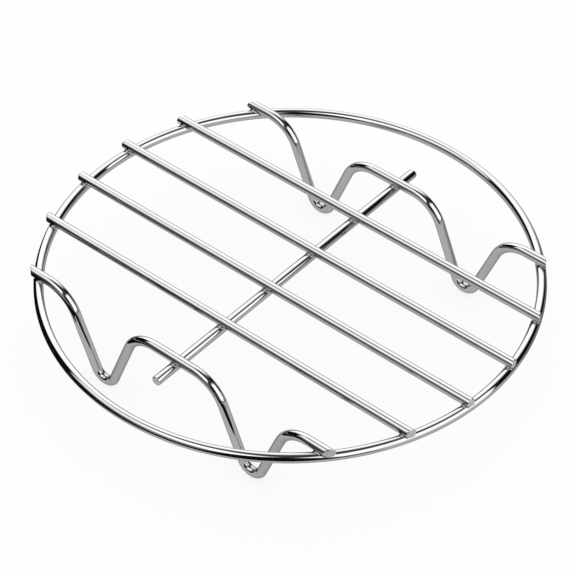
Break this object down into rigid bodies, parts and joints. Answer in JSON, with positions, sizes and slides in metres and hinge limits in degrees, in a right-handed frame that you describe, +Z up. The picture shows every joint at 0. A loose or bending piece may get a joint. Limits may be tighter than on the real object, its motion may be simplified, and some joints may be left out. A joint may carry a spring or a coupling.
{
  "type": "pressure cooker trivet rack",
  "caption": "Round wire trivet rack of welded rods on a ring, with bent wire feet, which holds food above the water in a pressure cooker.",
  "frame": {"origin": "on the ring's axis, at the level that the four feet stand on", "axes": "+X along the six rods, +Y along the cross bar, +Z up from the feet to the rods"},
  "size_m": [0.2004, 0.2, 0.04],
  "materials": {
    "wire": "bright polished steel wire"
  },
  "bodies": {
    "root": {"outer_ring": "wire", "cross_bar": "wire", "leg_rod_front": "wire", "straight_rod_1": "wire", "straight_rod_2": "wire", "straight_rod_3": "wire", "straight_rod_4": "wire", "leg_rod_back": "wire"}
  },
  "joints": []
}
